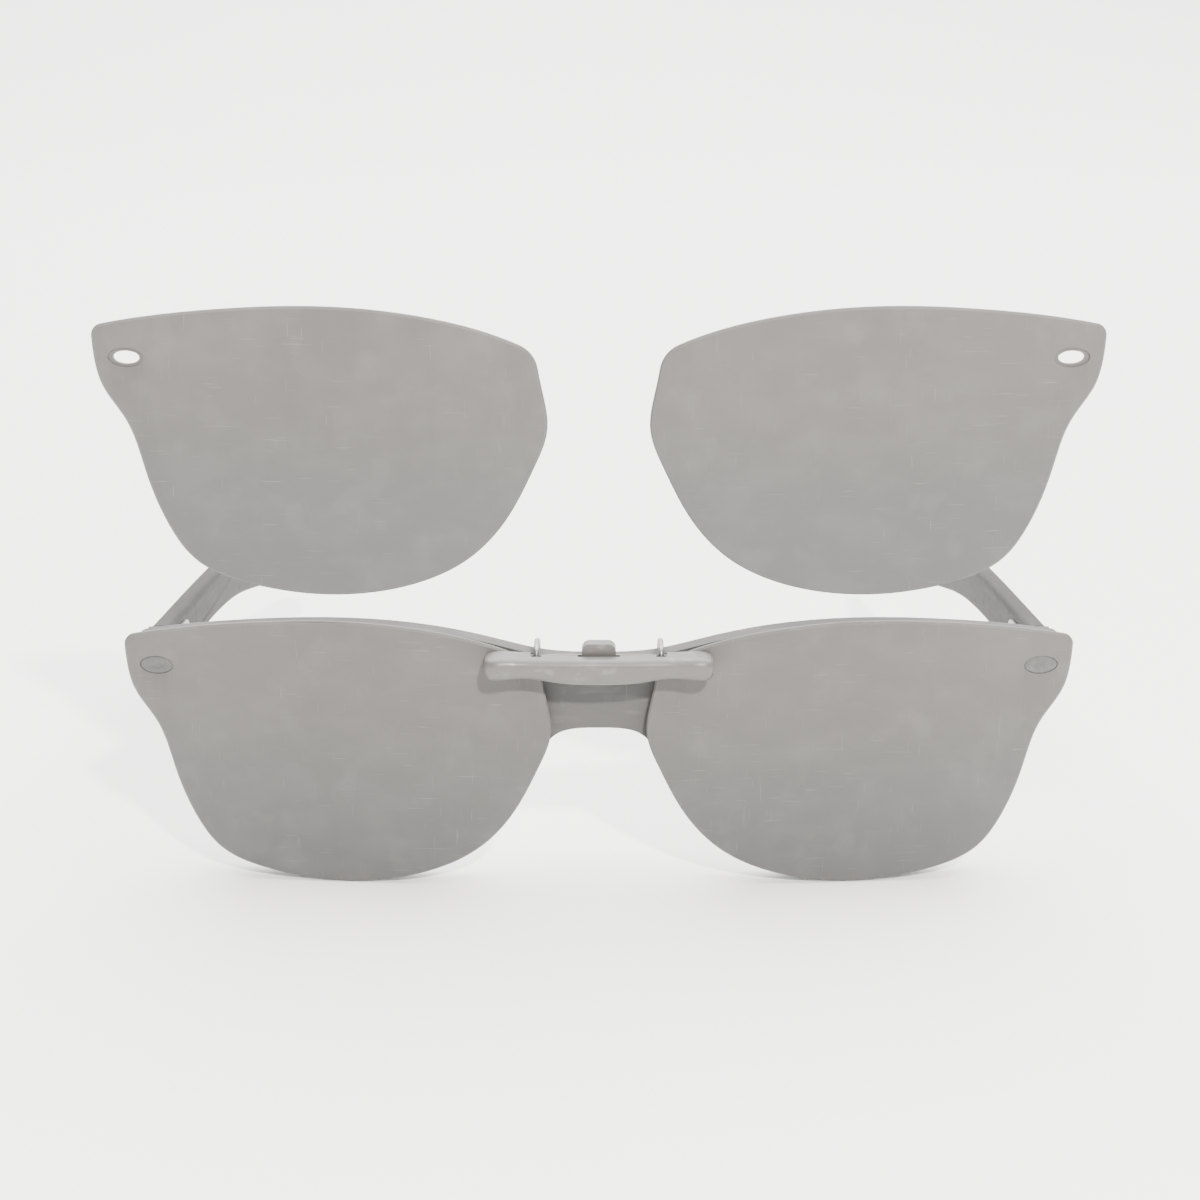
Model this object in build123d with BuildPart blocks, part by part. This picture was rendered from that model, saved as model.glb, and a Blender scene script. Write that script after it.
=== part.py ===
"""Clip-on sunglasses: spectacles, a sprung clip-on unit fitted to them, and a spare pair of lenses.

Frame of the model: +X to the right seen from the front, +Y back along the temples, +Z up.
The origin is on the surface the glasses stand on, under the middle of their bounding box.
Left means the side at negative X. All sizes are in millimetres.
"""

from build123d import *
import os
from math import asin, cos, radians, sin, sqrt

os.makedirs("parts", exist_ok=True)

# Driving dimensions -------------------------------------------------------------------
LENS_Y = -66.2  # where the fitted sun lenses' front face crosses the middle plane
WRAP_RADIUS = 510.0  # every curved front piece bends about one upright axis behind the wearer
REACH = 80  # how far an outline is extruded each way before it is cut to a curved layer

LENS_THICK = 0.8
LENS_EDGE_BEVEL = 0.3
SPARE_FORWARD, SPARE_LIFT = 8.7, 49.5  # the spare pair hangs in front of and above the fitted one

# Depths are measured back from the fitted lens's front face.
PLATE_FRONT, PLATE_BACK = 0.8, 1.4
PAD_BACK = 2.0
FRAME_FRONT, FRAME_BACK = 2.3, 5.8
GLAZING_FRONT, GLAZING_BACK = 3.2, 5.0
GROOVE_DEPTH = 0.6

OVAL_X, OVAL_Z = -68.6, 34.9
OVAL_HOLE = (4.0, 1.9)
OVAL_SEAT = (5.4, 2.9)
OVAL_SEAT_DEPTH = 0.3
OVAL_HEAD_SUNK = 0.1
OVAL_FOOT = (5.0, 2.8)
FOOT_GAP = 0.05  # the foot is flat and the lens's back is curved

TEMPLE_OUTER_X = -70.6
TEMPLE_THICK = 3.3
TEMPLE_INWARD = 2.5  # degrees
TEMPLE_ROUNDING = 0.9
TIP_ROUNDING = 3.6
CORE_RADIUS = 0.7
SEAM_DEPTH, SEAM_GAP = 10.5, 0.3
BLOCK_LOW, BLOCK_HIGH = 31.9, 39.4
BLOCK_LONG, BLOCK_WIDE = 3.2, 7.2

HINGE_X, HINGE_DEPTH = -64.9, 12.3
HINGE_LOW, HINGE_HIGH = 32.3, 38.5
KNUCKLE_RADIUS, KNUCKLE_TALL, KNUCKLE_GAP = 1.3, 1.7, 0.1
HINGE_SCREW_RADIUS, RUNNING_GAP = 0.6, 0.04
SCREW_HEAD_RADIUS, SCREW_HEAD_TALL = 1.05, 0.6
SLOT_WIDE, SLOT_DEEP = 0.3, 0.3
LEAF_X = (-67.0, -63.4)
LEAF_DEPTH = (9.6, 10.8)
TEMPLE_LEAF = (9.4, 4.8)
TEMPLE_LEAF_AT, TEMPLE_LEAF_THICK = 6.4, 0.9

BAR_HALF, BAR_FRONT = 17.3, -4.5
BAR_ROUNDING = 1.1
CAVITY_HALF = 10.4
CAVITY_LOW, CAVITY_HIGH = 35.85, 37.9
PIN_DEPTH, PIN_Z, PIN_RADIUS, PIN_HALF = -1.0, 36.9, 0.4, 12.0
BARREL_RADIUS = 0.85
BARREL_HALF = CAVITY_HALF - 0.2
CLIP_SCREW_X, CLIP_SCREW_Z, CLIP_SCREW_RADIUS = 3.4, 35.1, 0.5
CLIP_HEAD_RADIUS, CLIP_HEAD_TALL, CLIP_SCREW_LONG = 0.85, 0.35, 4.0
PAD_AT, PAD_SIZE = (-13, 36.2), (6.4, 2.0)
TAB_HALF, TAB_TOP, TAB_ROUNDING = 2.6, 39.95, 1.2
PRONG_X, PRONG_RADIUS, PRONG_BEND = -9.5, 0.42, 1.1
SLEEVE_RADIUS, SLEEVE_LONG = 0.95, 6.2
SPRING_INNER, SPRING_WIRE, SPRING_TURNS, SPRING_LONG = 0.55, 0.28, 6, 2.6
SPRING_MIDDLE = 6.2

# Left outlines, as (X, Z) seen from the front
OUTER_CORNER, INNER_CORNER = (-73.6, 39.4), (-9.0, 36.2)
LENS_TOP = [(-68, 40.5), (-55, 42.1), (-40, 42.7), (-24, 41.1), (-14.5, 38.6)]
LENS_SIDES = [
    (-7.9, 29.8), (-7.4, 25.2), (-9.3, 19.6), (-13.5, 11.7), (-18.8, 6.0),
    (-28, 1.6), (-40.3, 0), (-52.8, 1.7), (-59.8, 4.9), (-63.6, 10.1), (-66.6, 18),
    (-69.2, 25.8), (-72.4, 30.8), (-73.4, 35),
]
LENS_CORNER_ROUNDING = (1.8, 4.5)

RIM_MIDDLE = Vector(-37.5, 21.5)
RIM_POINTS = [
    (-58, 36.3), (-47, 38.1), (-36, 38.1), (-25, 36.2), (-16, 32.2), (-12.7, 27), (-13.2, 21.5),
    (-16.3, 14.6), (-21, 8.9), (-28, 5.4), (-37, 4.3), (-46.5, 4.9), (-54, 8), (-58.6, 13.4),
    (-61, 20.4), (-62.3, 27.8), (-61.8, 33.4),
]

FRONT_CORNER, BROW_MIDDLE, ARCH_MIDDLE = (-72.4, 38.7), (0, 36.7), (0, 25.4)
FRONT_CORNER_ROUNDING = 1.5
BROW = [(-67.5, 39.6), (-55, 41.1), (-40, 41.8), (-25, 40.7), (-17, 39.1), (-10.5, 37.5)]
LOWER_RIM = [
    (-3.4, 25.3), (-6.5, 24.4), (-8.7, 22.0), (-11.0, 17.8), (-14.4, 12.4),
    (-19.5, 6.8), (-28.3, 2.6), (-40.3, 1.0), (-52.4, 2.7), (-59, 5.7), (-62.6, 10.5),
    (-65.6, 18), (-68.1, 26), (-70.9, 31), (-72.1, 35),
]

# Temple edges, as (distance back from the seam, Z)
TEMPLE_TOP = [
    (0, 39.4), (20, 38.9), (40, 38.2), (55, 37.1), (70, 34.9), (85, 31.4), (100, 27.1),
    (118, 21.6), (131.2, 17.4),
]
TEMPLE_UNDER = [
    (129.0, 9.9), (116, 13.9), (100, 18.7), (80, 24.0), (65, 27.3), (51.7, 29.8), (39.5, 31.2),
    (26, 31.9), (0, 31.9),
]
CORE_LINE = [(16, 35.5), (40, 34.7), (70, 30.7), (100, 22.9), (119, 17.2)]

# Bar sections, as X: (lowest Z, highest Z)
BAR_SECTIONS = {
    0: (34.3, 38.3),
    4: (34.4, 38.3),
    8: (34.9, 38.35),
    11.5: (35.3, 38.4),
    BAR_HALF - 0.5: (35.25, 38.3),
    BAR_HALF: (35.6, 38.0),
}
PLATE_OUTLINE = [
    (0, 34.3), (-7.8, 34.3), (-10.5, 35.0), (-16.8, 35.0), (-16.8, 37.6), (-8.5, 37.6),
    (-7.5, 37.7), (0, 37.7),
]

# Jaw outlines, as (depth, Z)
PRONG_PATH = [(-0.7, 39.0), (3.0, 39.3), (7.2, 38.1), (7.45, 31.0)]
TAB_OUTLINE = [
    (PIN_DEPTH, PIN_Z), (0.45, PIN_Z), (0.45, 38.0), (1.5, 38.4), (1.5, TAB_TOP), (-0.9, TAB_TOP),
    (-1.0, 38.5),
]


# Tools ----------------------------------------------------------------------------------
def depth(distance):
    """The Y of a place that lies this far back from the fitted lens's front face."""
    return LENS_Y + distance


def wrap_depth(x, distance):
    """The Y of a wrapped surface at this X, for its distance behind the lens's front face."""
    radius = WRAP_RADIUS - distance
    return depth(WRAP_RADIUS) - sqrt(radius**2 - x**2)


def surface_plane(x, z, distance):
    """A plane that touches a wrapped surface at this place and looks forward, out of it."""
    turn = asin(x / (WRAP_RADIUS - distance))
    return Plane(
        origin=(x, wrap_depth(x, distance), z),
        x_dir=(cos(turn), sin(turn), 0),
        z_dir=(sin(turn), -cos(turn), 0),
    )


def keep_between(front, back):
    """Cut the open part to the curved layer between two distances behind the lens's face."""
    with BuildSketch(Plane.XY.offset(-REACH)) as layer:
        with Locations((0, depth(WRAP_RADIUS))):
            Circle(WRAP_RADIUS - front)
            Circle(WRAP_RADIUS - back, mode=Mode.SUBTRACT)
    extrude(layer.sketch, amount=2 * REACH, mode=Mode.INTERSECT)


def box_between(x, y, z, mode=Mode.ADD):
    """A box between two values on each axis, in the open part."""
    with Locations(((x[0] + x[1]) / 2, (y[0] + y[1]) / 2, (z[0] + z[1]) / 2)):
        Box(x[1] - x[0], y[1] - y[0], z[1] - z[0], mode=mode)


def corner_at(sketch, place):
    """The corner of a flat drawing that is nearest to a place given in its own plane."""
    return min(sketch.vertices(), key=lambda corner: (Vector(*corner) - Vector(*place)).length)


def rim_sketch(growth):
    """The rim's opening, with its edge moved outwards from the middle by a given growth."""
    points = [Vector(*p) for p in RIM_POINTS]
    points = [p + (p - RIM_MIDDLE).normalized() * growth for p in points]
    with BuildSketch(Plane.XZ) as opening:
        with BuildLine():
            Spline(*points, periodic=True)
        make_face()
    return opening.sketch


def knuckle(span):
    """One barrel of the temple hinge between two heights, in the open part."""
    with Locations((HINGE_X, depth(HINGE_DEPTH), (span[0] + span[1]) / 2)):
        Cylinder(KNUCKLE_RADIUS, span[1] - span[0])


def hinge_bore(radius):
    """The hole for the hinge screw, right through the open part."""
    with Locations((HINGE_X, depth(HINGE_DEPTH), (HINGE_LOW + HINGE_HIGH) / 2)):
        Cylinder(radius, HINGE_HIGH - HINGE_LOW + 2, mode=Mode.SUBTRACT)


# Outlines -------------------------------------------------------------------------------
with BuildSketch(Plane.XZ) as lens_outline:
    with BuildLine():
        Spline(OUTER_CORNER, *LENS_TOP, INNER_CORNER)
        Spline(INNER_CORNER, *LENS_SIDES, OUTER_CORNER)
    make_face()
    fillet(lens_outline.vertices().sort_by(Axis.X)[0], LENS_CORNER_ROUNDING[0])
    fillet(lens_outline.vertices().sort_by(Axis.X)[-1], LENS_CORNER_ROUNDING[1])

with BuildSketch(Plane.XZ) as front_outline:
    with BuildLine():
        Spline(FRONT_CORNER, *BROW, BROW_MIDDLE, tangents=[(5, 1), (1, 0)])
        Line(BROW_MIDDLE, ARCH_MIDDLE)
        Spline(ARCH_MIDDLE, *LOWER_RIM, FRONT_CORNER)
    make_face()
    fillet(front_outline.vertices().sort_by(Axis.X)[0], FRONT_CORNER_ROUNDING)
    mirror(about=Plane.YZ)

rim_opening = rim_sketch(0)

# Sun lens, made once and used for both pairs ----------------------------------------------
oval_plane = surface_plane(OVAL_X, OVAL_Z, 0)

with BuildPart() as sun_lens:
    extrude(lens_outline.sketch, amount=REACH, both=True)
    keep_between(0, LENS_THICK)
    front_face = sun_lens.faces().filter_by(GeomType.CYLINDER).sort_by(SortBy.RADIUS)[-1]
    chamfer(front_face.edges(), LENS_EDGE_BEVEL)
    with BuildSketch(oval_plane):
        Ellipse(OVAL_HOLE[0] / 2, OVAL_HOLE[1] / 2)
    extrude(amount=-3, mode=Mode.SUBTRACT)
    with BuildSketch(oval_plane.offset(-OVAL_SEAT_DEPTH)):
        Ellipse(OVAL_SEAT[0] / 2, OVAL_SEAT[1] / 2)
    extrude(amount=2, mode=Mode.SUBTRACT)

with BuildPart() as spare_lens:
    add(sun_lens.part.moved(Location((0, -SPARE_FORWARD, SPARE_LIFT))))

# Oval bumper: a soft rivet through the lens's hole whose foot faces the frame
with BuildPart() as lens_bumper:
    with BuildSketch(oval_plane.offset(-OVAL_HEAD_SUNK)):
        Ellipse(OVAL_SEAT[0] / 2, OVAL_SEAT[1] / 2)
    extrude(amount=OVAL_HEAD_SUNK - OVAL_SEAT_DEPTH)
    with BuildSketch(oval_plane.offset(-OVAL_SEAT_DEPTH)):
        Ellipse(OVAL_HOLE[0] / 2, OVAL_HOLE[1] / 2)
    extrude(amount=OVAL_SEAT_DEPTH - LENS_THICK - FOOT_GAP)
    with BuildSketch(oval_plane.offset(-LENS_THICK - FOOT_GAP)):
        Ellipse(OVAL_FOOT[0] / 2, OVAL_FOOT[1] / 2)
    extrude(amount=LENS_THICK + FOOT_GAP - PAD_BACK)

# Optical lens in the frame's groove
with BuildPart() as optical_lens:
    extrude(rim_sketch(GROOVE_DEPTH), amount=REACH, both=True)
    keep_between(GLAZING_FRONT, GLAZING_BACK)

# Temple, drawn on its own upright plane: the outer face, X along the temple and Y up --------
inward = radians(TEMPLE_INWARD)
temple_plane = Plane(
    origin=(TEMPLE_OUTER_X, depth(SEAM_DEPTH + SEAM_GAP), 0),
    x_dir=(sin(inward), cos(inward), 0),
    z_dir=(cos(inward), -sin(inward), 0),
)

with BuildPart() as core_wire:
    with BuildLine(temple_plane.offset(TEMPLE_THICK / 2)) as core_path:
        Spline(*CORE_LINE)
    with BuildSketch(Plane(core_path.line @ 0, z_dir=core_path.line % 0)):
        Circle(CORE_RADIUS)
    sweep(path=core_path.line)

with BuildPart() as temple_blank:
    with BuildSketch(temple_plane) as temple_side:
        with BuildLine():
            Spline(*TEMPLE_TOP)
            Line(TEMPLE_TOP[-1], TEMPLE_UNDER[0])
            Spline(*TEMPLE_UNDER)
            Line(TEMPLE_UNDER[-1], TEMPLE_TOP[0])
        make_face()
        fillet(corner_at(temple_side, TEMPLE_TOP[-1]), TIP_ROUNDING)
        fillet(corner_at(temple_side, TEMPLE_UNDER[0]), TIP_ROUNDING)
    extrude(amount=TEMPLE_THICK)
    side_edges = temple_blank.edges().filter_by(lambda edge: edge.length > TEMPLE_THICK + 0.1)
    fillet(side_edges.filter_by(lambda edge: edge.length != BLOCK_HIGH - BLOCK_LOW), TEMPLE_ROUNDING)

# Temple hinge: two leaves with five knuckles in line, and one screw -------------------------
low_knuckle = (HINGE_LOW, HINGE_LOW + KNUCKLE_TALL)
high_knuckle = (HINGE_HIGH - KNUCKLE_TALL, HINGE_HIGH)
mid_knuckle = (low_knuckle[1] + KNUCKLE_GAP, high_knuckle[0] - KNUCKLE_GAP)
hinge_y = depth(HINGE_DEPTH)
hinge_middle = (HINGE_LOW + HINGE_HIGH) / 2

with BuildPart() as hinge_front_leaf:
    box_between(LEAF_X, [depth(distance) for distance in LEAF_DEPTH], (HINGE_LOW, HINGE_HIGH))
    for span in (low_knuckle, high_knuckle):
        knuckle(span)
        web = (HINGE_X - KNUCKLE_RADIUS + 0.2, HINGE_X + KNUCKLE_RADIUS - 0.2)
        box_between(web, (depth(LEAF_DEPTH[1] - 0.1), hinge_y), span)
    hinge_bore(HINGE_SCREW_RADIUS)

with BuildPart() as hinge_temple_leaf:
    with BuildSketch(temple_plane.offset(TEMPLE_THICK - 0.5)):
        with Locations((TEMPLE_LEAF_AT, hinge_middle)):
            SlotOverall(*TEMPLE_LEAF)
    extrude(amount=TEMPLE_LEAF_THICK)
    knuckle(mid_knuckle)
    box_between((LEAF_X[0] + 0.05, HINGE_X), (hinge_y - 0.3, hinge_y + 1.0), mid_knuckle)
    hinge_bore(HINGE_SCREW_RADIUS + RUNNING_GAP)

with BuildPart() as hinge_screw:
    with Locations((HINGE_X, hinge_y, hinge_middle)):
        Cylinder(HINGE_SCREW_RADIUS, HINGE_HIGH - HINGE_LOW)
    with Locations((HINGE_X, hinge_y, HINGE_HIGH + SCREW_HEAD_TALL / 2)):
        Cylinder(SCREW_HEAD_RADIUS, SCREW_HEAD_TALL)
    fillet(hinge_screw.edges().sort_by(Axis.Z)[-1], SCREW_HEAD_TALL / 3)
    head_top = HINGE_HIGH + SCREW_HEAD_TALL
    box_between(
        (HINGE_X - 2, HINGE_X + 2),
        (hinge_y - SLOT_WIDE / 2, hinge_y + SLOT_WIDE / 2),
        (head_top - SLOT_DEEP, head_top + 1),
        mode=Mode.SUBTRACT,
    )

with BuildPart() as temple:
    add(temple_blank.part)
    add(core_wire.part, mode=Mode.SUBTRACT)
    add(hinge_temple_leaf.part, mode=Mode.SUBTRACT)

# Frame front: both rims, the bridge and the end blocks that meet the temples ----------------
with BuildPart() as frame_front:
    extrude(front_outline.sketch, amount=REACH, both=True)
    keep_between(FRAME_FRONT, FRAME_BACK)
    with BuildSketch(temple_plane):
        with Locations((-SEAM_GAP - BLOCK_LONG / 2, (BLOCK_LOW + BLOCK_HIGH) / 2)):
            Rectangle(BLOCK_LONG, BLOCK_HIGH - BLOCK_LOW)
    end_block = extrude(amount=BLOCK_WIDE)
    mirror(end_block, about=Plane.YZ)
    extrude(rim_opening, amount=REACH, both=True, mode=Mode.SUBTRACT)
    extrude(rim_opening.mirror(Plane.YZ), amount=REACH, both=True, mode=Mode.SUBTRACT)
    for inlay in (optical_lens, hinge_front_leaf):
        add(inlay.part, mode=Mode.SUBTRACT)
        add(inlay.part.mirror(Plane.YZ), mode=Mode.SUBTRACT)

# Nose pad: a small block that follows the rim's inner slope, shaped to sit on it
pad_slope = radians(27.5)
pad_plane = Plane(
    origin=(-10.3, wrap_depth(-10.3, 8.0), 18.2),
    x_dir=(-sin(pad_slope), 0, -cos(pad_slope)),
    z_dir=(cos(pad_slope), 0.2, -sin(pad_slope)),
)
with BuildPart() as nose_pad:
    with BuildSketch(pad_plane):
        SlotOverall(12.5, 6.0)
    extrude(amount=-2.4)
    fillet(nose_pad.edges(), 0.9)
    add(frame_front.part, mode=Mode.SUBTRACT)

# Clip-on unit: bar, back plate, screws and pads ---------------------------------------------
stations = [-x for x in reversed(BAR_SECTIONS) if x] + list(BAR_SECTIONS)
pin_line = Location((0, depth(PIN_DEPTH), PIN_Z), (0, 90, 0))
cavity_x = (-CAVITY_HALF, CAVITY_HALF)

with BuildPart() as clip_bar:
    for x in stations:
        low, high = BAR_SECTIONS[abs(x)]
        shrink = 0.5 if abs(x) == BAR_HALF else 0
        with BuildSketch(Plane.YZ.offset(x)) as section:
            with Locations(((depth(BAR_FRONT + shrink) + depth(1)) / 2, (low + high) / 2)):
                Rectangle(1 - BAR_FRONT - shrink, high - low)
            fillet(section.vertices().group_by(Axis.X)[0], BAR_ROUNDING)
    loft()
    with BuildSketch(Plane.XY):
        with Locations((0, depth(WRAP_RADIUS))):
            Circle(WRAP_RADIUS)
    extrude(amount=REACH, mode=Mode.SUBTRACT)
    # the floor of the bar reaches back to the plate, between the two lenses
    box_between((-8, 8), (depth(-1.5), depth(PLATE_FRONT - 0.02)), (34.9, CAVITY_LOW))
    # the cavity for the jaw's barrel, open behind, with room above for the tab and prongs
    box_between(cavity_x, (depth(-2.1), depth(1)), (CAVITY_LOW, CAVITY_HIGH), mode=Mode.SUBTRACT)
    box_between(cavity_x, (depth(-1.2), depth(1)), (CAVITY_LOW, 40), mode=Mode.SUBTRACT)
    box_between(
        (-TAB_HALF - 0.6, TAB_HALF + 0.6), (depth(-1.9), depth(1)), (CAVITY_LOW, 40),
        mode=Mode.SUBTRACT,
    )
    for x in (PRONG_X, -PRONG_X):
        box_between((x - 0.75, x + 0.75), (depth(-2.1), depth(1)), (37, 40), mode=Mode.SUBTRACT)
    with Locations(pin_line):
        Cylinder(PIN_RADIUS, 2 * PIN_HALF, mode=Mode.SUBTRACT)
    with Locations(Plane.XZ.offset(-depth(PLATE_BACK - CLIP_SCREW_LONG / 2))):
        with Locations((-CLIP_SCREW_X, CLIP_SCREW_Z), (CLIP_SCREW_X, CLIP_SCREW_Z)):
            Cylinder(CLIP_SCREW_RADIUS, CLIP_SCREW_LONG, mode=Mode.SUBTRACT)

with BuildPart() as clip_screws:
    for x in (-CLIP_SCREW_X, CLIP_SCREW_X):
        for radius, length in ((CLIP_HEAD_RADIUS, -CLIP_HEAD_TALL), (CLIP_SCREW_RADIUS, CLIP_SCREW_LONG)):
            with BuildSketch(Plane.XZ.offset(-depth(PLATE_BACK))):
                with Locations((x, CLIP_SCREW_Z)):
                    Circle(radius)
            extrude(amount=length)
        box_between(
            (x - 0.7, x + 0.7),
            (depth(PLATE_BACK + CLIP_HEAD_TALL - 0.2), depth(PLATE_BACK + 1)),
            (CLIP_SCREW_Z - 0.12, CLIP_SCREW_Z + 0.12),
            mode=Mode.SUBTRACT,
        )

with BuildPart() as clip_back_plate:
    with BuildSketch(Plane.XZ) as plate_outline:
        with BuildLine():
            Polyline(*PLATE_OUTLINE, close=True)
        make_face()
        fillet(plate_outline.vertices().group_by(Axis.X)[0], 0.8)
        mirror(about=Plane.YZ)
    extrude(amount=REACH, both=True)
    keep_between(PLATE_FRONT, PLATE_BACK)
    add(clip_screws.part, mode=Mode.SUBTRACT)

with BuildPart() as bridge_pad:
    with BuildSketch(Plane.XZ):
        with Locations(PAD_AT):
            SlotOverall(*PAD_SIZE)
    extrude(amount=REACH, both=True)
    keep_between(PLATE_BACK, PAD_BACK)

# Jaw: a lever that turns on the pin, with a tab to press and two sleeved prongs -------------
with BuildPart() as jaw_pin:
    with Locations(pin_line):
        Cylinder(PIN_RADIUS, 2 * PIN_HALF)

prong_root = (PRONG_X, depth(PIN_DEPTH), PIN_Z + BARREL_RADIUS - 0.25)
with BuildPart() as prong:
    with BuildLine() as prong_path:
        FilletPolyline(
            prong_root, *[(PRONG_X, depth(back), z) for back, z in PRONG_PATH], radius=PRONG_BEND
        )
    with BuildSketch(Plane(prong_path.line @ 0, z_dir=prong_path.line % 0)):
        Circle(PRONG_RADIUS)
    sweep(path=prong_path.line)

sleeve_end = Plane(prong_path.line @ 1, z_dir=prong_path.line % 1).offset(0.5)
with BuildPart() as prong_sleeve:
    with BuildSketch(sleeve_end):
        Circle(SLEEVE_RADIUS)
    extrude(amount=-SLEEVE_LONG)
    fillet(prong_sleeve.edges(), 0.4)
    add(prong.part, mode=Mode.SUBTRACT)

with BuildPart() as jaw_lever:
    with Locations(pin_line):
        Cylinder(BARREL_RADIUS, 2 * BARREL_HALF)
    box_between((-BARREL_HALF, BARREL_HALF), (depth(PIN_DEPTH), depth(0.45)), (36.5, 37.5))
    with BuildSketch(Plane.YZ.offset(-TAB_HALF)):
        with BuildLine():
            Polyline(*[(depth(back), z) for back, z in TAB_OUTLINE], close=True)
        make_face()
    extrude(amount=2 * TAB_HALF)
    tab_top = jaw_lever.edges().group_by(Axis.Z)[-1]
    fillet(tab_top.filter_by(Axis.Y), TAB_ROUNDING)
    # gaps in the barrel for the two coils
    for x in (-SPRING_MIDDLE, SPRING_MIDDLE):
        box_between(
            (x - 1.6, x + 1.6), (depth(-2.5), depth(-0.05)), (PIN_Z - 1, PIN_Z + 1),
            mode=Mode.SUBTRACT,
        )
    with Locations(pin_line):
        Cylinder(PIN_RADIUS + RUNNING_GAP, 3 * PIN_HALF, mode=Mode.SUBTRACT)
    add(prong.part, mode=Mode.SUBTRACT)
    add(prong.part.mirror(Plane.YZ), mode=Mode.SUBTRACT)

with BuildPart() as torsion_springs:
    for x in (-SPRING_MIDDLE, SPRING_MIDDLE):
        coil = Helix(
            SPRING_LONG / SPRING_TURNS, SPRING_LONG, SPRING_INNER + SPRING_WIRE / 2,
            center=(x - SPRING_LONG / 2, depth(PIN_DEPTH), PIN_Z), direction=(1, 0, 0),
            mode=Mode.PRIVATE,
        )
        with BuildSketch(Plane(coil @ 0, z_dir=coil % 0)):
            Circle(SPRING_WIRE / 2)
        sweep(path=coil)

# Export ---------------------------------------------------------------------------------------
PAIRED = {
    "sun_lens": sun_lens,
    "spare_lens": spare_lens,
    "lens_bumper": lens_bumper,
    "optical_lens": optical_lens,
    "nose_pad": nose_pad,
    "hinge_front_leaf": hinge_front_leaf,
    "hinge_temple_leaf": hinge_temple_leaf,
    "hinge_screw": hinge_screw,
    "temple": temple,
    "temple_core_wire": core_wire,
    "bridge_pad": bridge_pad,
    "prong": prong,
    "prong_sleeve": prong_sleeve,
}
SINGLE = {
    "frame_front": frame_front,
    "clip_bar": clip_bar,
    "clip_back_plate": clip_back_plate,
    "clip_screws": clip_screws,
    "jaw_lever": jaw_lever,
    "jaw_pin": jaw_pin,
    "torsion_springs": torsion_springs,
}

for name, piece in SINGLE.items():
    piece.part.label = name
    export_step(piece.part, f"parts/{name}.step")

for name, piece in PAIRED.items():
    with BuildPart() as other_side:
        mirror(piece.part, about=Plane.YZ)
    for side, made in (("left", piece), ("right", other_side)):
        made.part.label = f"{name}_{side}"
        export_step(made.part, f"parts/{name}_{side}.step")
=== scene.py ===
# %% [markdown]
# # Clip-on sunglasses, finished
#
# This lesson dresses an engineered model of spectacles, a sprung clip-on unit and a spare pair of
# sun lenses. The engineering holds every size and every joint, so it is loaded first and never
# moved. What is made here is the surface that the eye meets: rounded edges, wires, coils, ribs and
# the small wear of things that live in a pocket. Lengths are in metres.

from math import asin, cos, pi, radians, sin, sqrt

import bmesh
import bpy
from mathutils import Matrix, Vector


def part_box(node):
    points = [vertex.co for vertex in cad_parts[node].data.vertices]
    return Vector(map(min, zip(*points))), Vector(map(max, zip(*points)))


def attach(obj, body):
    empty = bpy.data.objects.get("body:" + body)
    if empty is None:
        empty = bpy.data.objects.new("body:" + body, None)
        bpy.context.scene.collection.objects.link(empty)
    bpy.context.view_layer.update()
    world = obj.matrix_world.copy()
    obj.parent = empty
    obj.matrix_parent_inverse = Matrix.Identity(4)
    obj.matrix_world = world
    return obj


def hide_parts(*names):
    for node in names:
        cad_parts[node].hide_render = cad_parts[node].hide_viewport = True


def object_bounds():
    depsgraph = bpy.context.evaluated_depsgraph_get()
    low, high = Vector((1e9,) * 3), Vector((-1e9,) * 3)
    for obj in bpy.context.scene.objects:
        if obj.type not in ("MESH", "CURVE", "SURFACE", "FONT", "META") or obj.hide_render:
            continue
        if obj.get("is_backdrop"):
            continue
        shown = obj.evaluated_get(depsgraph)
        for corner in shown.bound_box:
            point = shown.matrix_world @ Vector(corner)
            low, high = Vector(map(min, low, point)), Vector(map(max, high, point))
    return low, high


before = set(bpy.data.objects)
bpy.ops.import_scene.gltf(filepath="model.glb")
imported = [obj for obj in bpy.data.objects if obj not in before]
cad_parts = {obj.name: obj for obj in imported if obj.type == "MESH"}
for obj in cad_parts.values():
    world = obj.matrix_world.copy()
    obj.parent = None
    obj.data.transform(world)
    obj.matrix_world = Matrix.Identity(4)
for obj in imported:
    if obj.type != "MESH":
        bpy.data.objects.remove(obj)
cad_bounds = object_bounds()
MM = 0.001
SIDES = ("left", "right")
LOW, HIGH = Vector(cad_bounds[0]), Vector(cad_bounds[1])
print("size in mm:", [round(length / MM, 1) for length in HIGH - LOW])

# %% [markdown]
# ## Where the eye is
#
# A product view of eyewear is taken from a little above eye level, far enough away that the two
# lenses keep their shape. The camera aims at a point a little above the clip's bar, on the middle
# plane, so that the fitted pair and the spare pair share the view.

# %% Set up the camera
LENS_FRONT_Y = -66.2 * MM  # the front of the fitted lenses, carried to the middle plane
AIM = Vector((0, LENS_FRONT_Y, 46.7 * MM))
VIEW_HEIGHT = radians(16)
VIEW_DISTANCE = 325 * MM
VIEW_SHIFT = 0.001  # as a share of the view's width
NEAR_LIMIT = 0.01
SENSOR_WIDTH, FOCAL_LENGTH = 36, 64.35  # both in millimetres, as a camera maker gives them

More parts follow.
